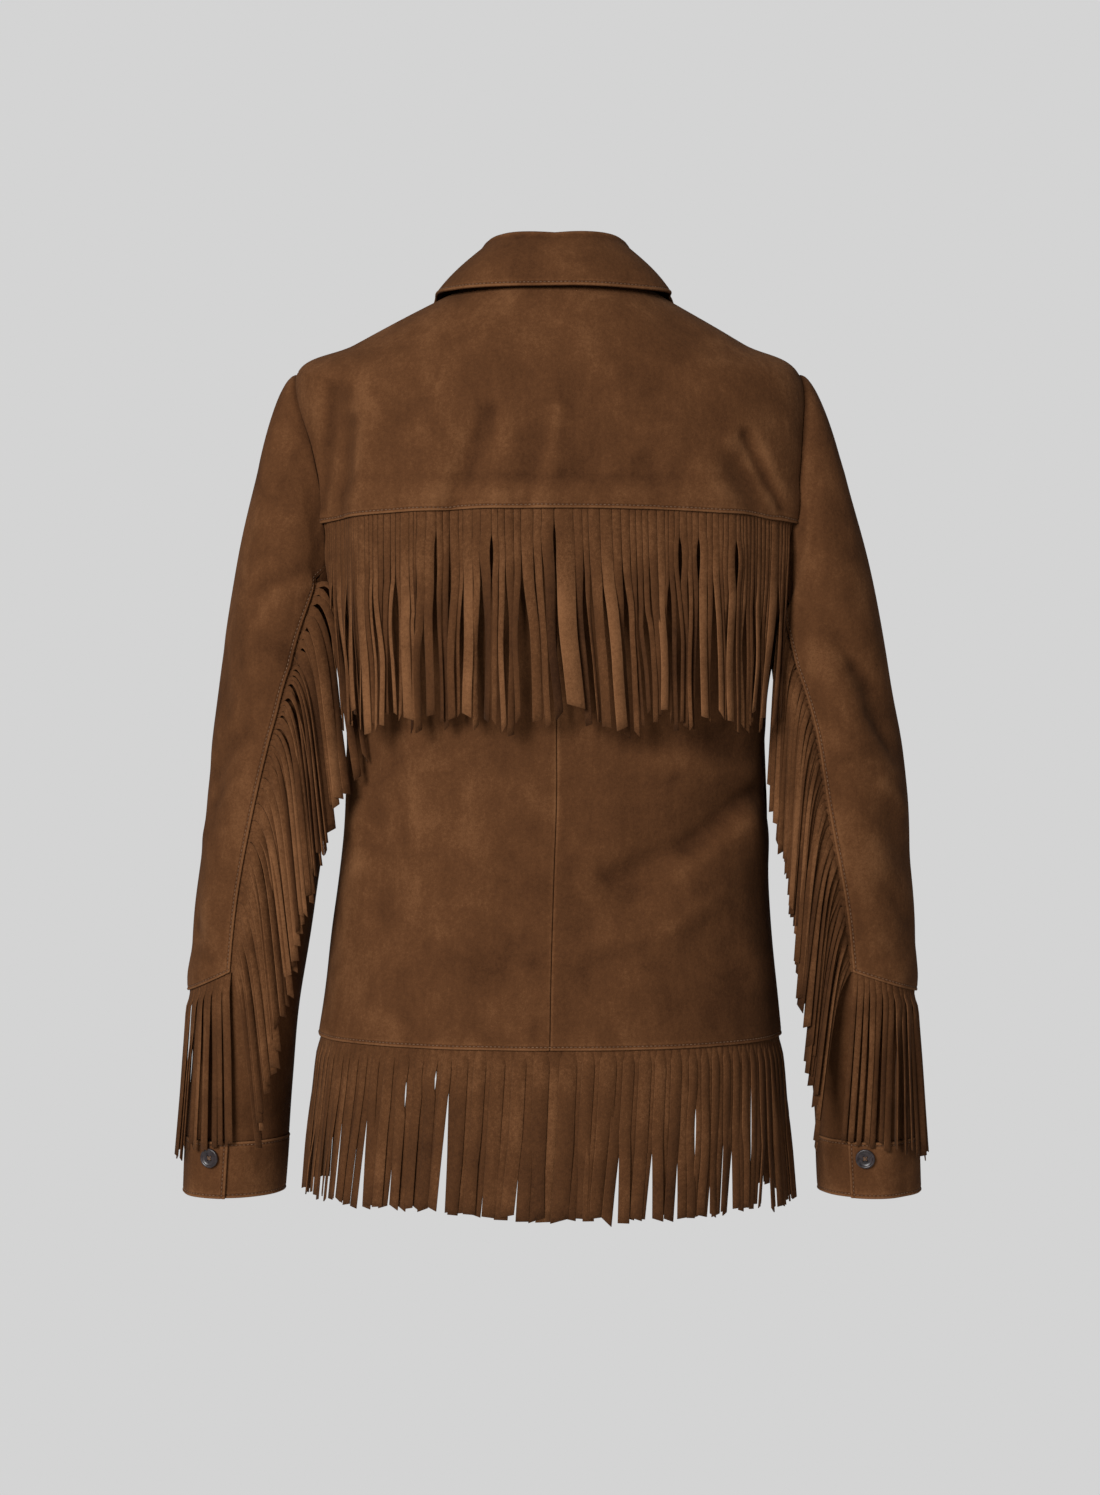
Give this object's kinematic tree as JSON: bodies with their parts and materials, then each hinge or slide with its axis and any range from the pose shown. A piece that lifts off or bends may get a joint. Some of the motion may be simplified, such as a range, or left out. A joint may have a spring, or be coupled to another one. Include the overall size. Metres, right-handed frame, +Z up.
{
  "type": "fringed suede jacket",
  "caption": "Short brown suede jacket with a pointed collar, long sleeves, buttoned cuffs and cut fringes at the back yoke, hem and sleeve seams, filled out as worn.",
  "frame": {"origin": "middle of the neck opening, level with the neck end of the shoulder seams", "axes": "+Z up, +Y the way the wearer faces (the back is at -Y), +X to the wearer's right"},
  "size_m": [0.5848, 0.2471, 0.7411],
  "materials": {
    "suede": "brushed nap, matt",
    "fringe_suede": "brushed nap, matt",
    "button": "satin"
  },
  "bodies": {
    "root": {"yoke": "suede", "collar": "suede", "back_left": "suede", "back_right": "suede", "front_left": "suede", "front_right": "suede", "sleeve_outer_left": "suede", "sleeve_under_left": "suede", "sleeve_lower_left": "suede", "cuff_left": "suede", "sleeve_outer_right": "suede", "sleeve_under_right": "suede", "sleeve_lower_right": "suede", "cuff_right": "suede", "yoke_fringe": "fringe_suede", "hem_fringe": "fringe_suede", "sleeve_fringe_left": "fringe_suede", "sleeve_fringe_right": "fringe_suede", "cuff_button_left": "button", "cuff_button_right": "button", "front_button_1": "button", "front_button_2": "button", "front_button_3": "button", "front_button_4": "button", "front_button_5": "button"}
  },
  "joints": []
}
